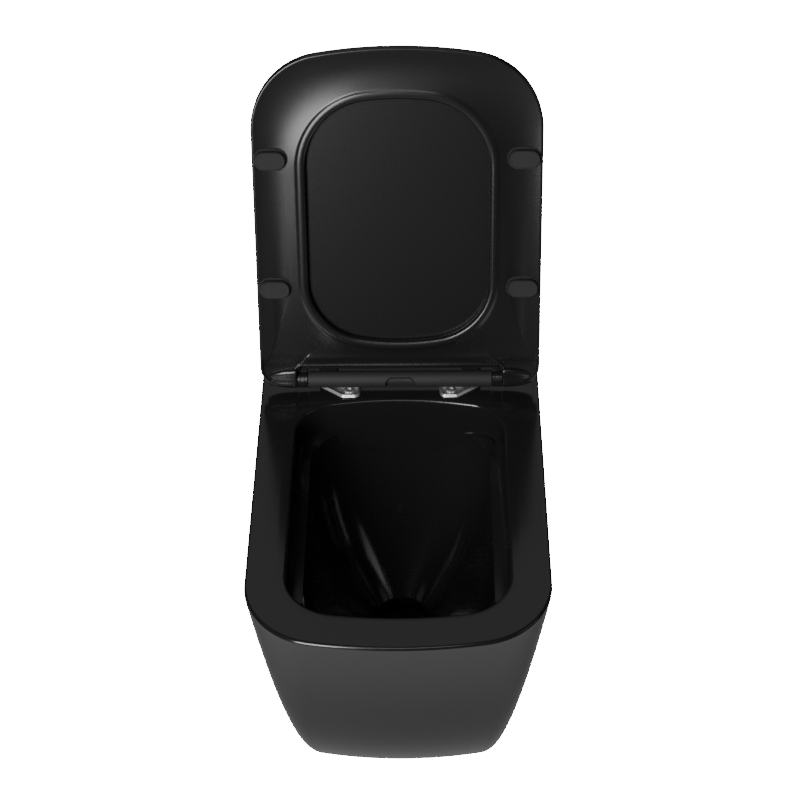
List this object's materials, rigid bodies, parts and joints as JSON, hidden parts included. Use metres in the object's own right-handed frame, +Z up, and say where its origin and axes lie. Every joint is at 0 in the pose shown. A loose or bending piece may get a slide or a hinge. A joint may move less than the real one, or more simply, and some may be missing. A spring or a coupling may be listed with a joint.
{
  "type": "wall-hung toilet pan",
  "caption": "Wall-hung rimless toilet pan with a tapered skirt, squared bowl opening and a slim soft-close seat and cover on a lift-off hinge bar.",
  "frame": {"origin": "midway between the two wall studs, on the wall's face", "axes": "+X to the right seen from the front, +Y into the wall, +Z up"},
  "size_m": [0.36, 0.585, 0.7717],
  "materials": {
    "black_glaze": "satin black glaze",
    "black_thermoset": "satin black moulded thermoset plastic",
    "black_plastic": "black moulded plastic",
    "white_plastic": "natural white plastic",
    "stainless": "bright stainless steel",
    "spring_steel": "spring wire",
    "damper_body": "grey damper casing",
    "black_rubber": "soft black rubber",
    "brass": "plain brass"
  },
  "bodies": {
    "pan_and_bar": {"pan": "black_glaze", "wall_sleeves": "white_plastic", "hinge_bar": "black_plastic", "seat_damper": "damper_body", "lid_damper": "damper_body", "button_spring": "spring_steel", "plate_left": "stainless", "plate_right": "stainless", "plate_gaskets": "black_rubber", "locating_posts": "stainless", "clamp_nuts": "brass", "rubber_plugs": "black_rubber"},
    "cover": {"lid": "black_thermoset", "lid_bushes": "black_plastic", "lid_buffers": "black_rubber", "lid_spindle": "stainless"},
    "seat_ring": {"seat": "black_thermoset", "seat_bushes": "white_plastic", "seat_buffers": "black_rubber", "seat_spindle": "stainless"},
    "button": {"release_button": "black_plastic"},
    "left_latch": {"latch_left": "stainless"},
    "right_latch": {"latch_right": "stainless"},
    "left_bolt": {"bolt_left": "stainless"},
    "right_bolt": {"bolt_right": "stainless"}
  },
  "joints": [
    {"name": "cover_hinge", "type": "hinge", "parent": "pan_and_bar", "child": "cover", "pos_m": [0, -0.145, 0.098], "axis": [-1, 0, 0], "range_deg": [-108.2, 0]},
    {"name": "seat_hinge", "type": "hinge", "parent": "cover", "child": "seat_ring", "pos_m": [0, -0.145, 0.098], "axis": [1, 0, 0], "range_deg": [0, 108.2]},
    {"name": "release_press", "type": "slide", "parent": "pan_and_bar", "child": "button", "axis": [0, 1, 0], "range_m": [0, 0.003], "stiffness_N_per_m": 700, "springref_m": -0.003, "deforming": ["button_spring"]},
    {"name": "left_latch_slide", "type": "slide", "parent": "pan_and_bar", "child": "left_latch", "axis": [-1, 0, 0], "range_m": [0, 0.003]},
    {"name": "right_latch_slide", "type": "slide", "parent": "pan_and_bar", "child": "right_latch", "axis": [1, 0, 0], "range_m": [0, 0.003]},
    {"name": "left_bolt_turn", "type": "hinge", "parent": "pan_and_bar", "child": "left_bolt", "pos_m": [-0.0655, -0.1493, 0.08], "axis": [0, 0, 1], "continuous": true},
    {"name": "right_bolt_turn", "type": "hinge", "parent": "pan_and_bar", "child": "right_bolt", "pos_m": [0.0655, -0.1493, 0.08], "axis": [0, 0, 1], "continuous": true}
  ],
  "couplings": [
    {"joint": "left_latch_slide", "follows": "release_press", "ratio": 1},
    {"joint": "right_latch_slide", "follows": "release_press", "ratio": 1}
  ]
}
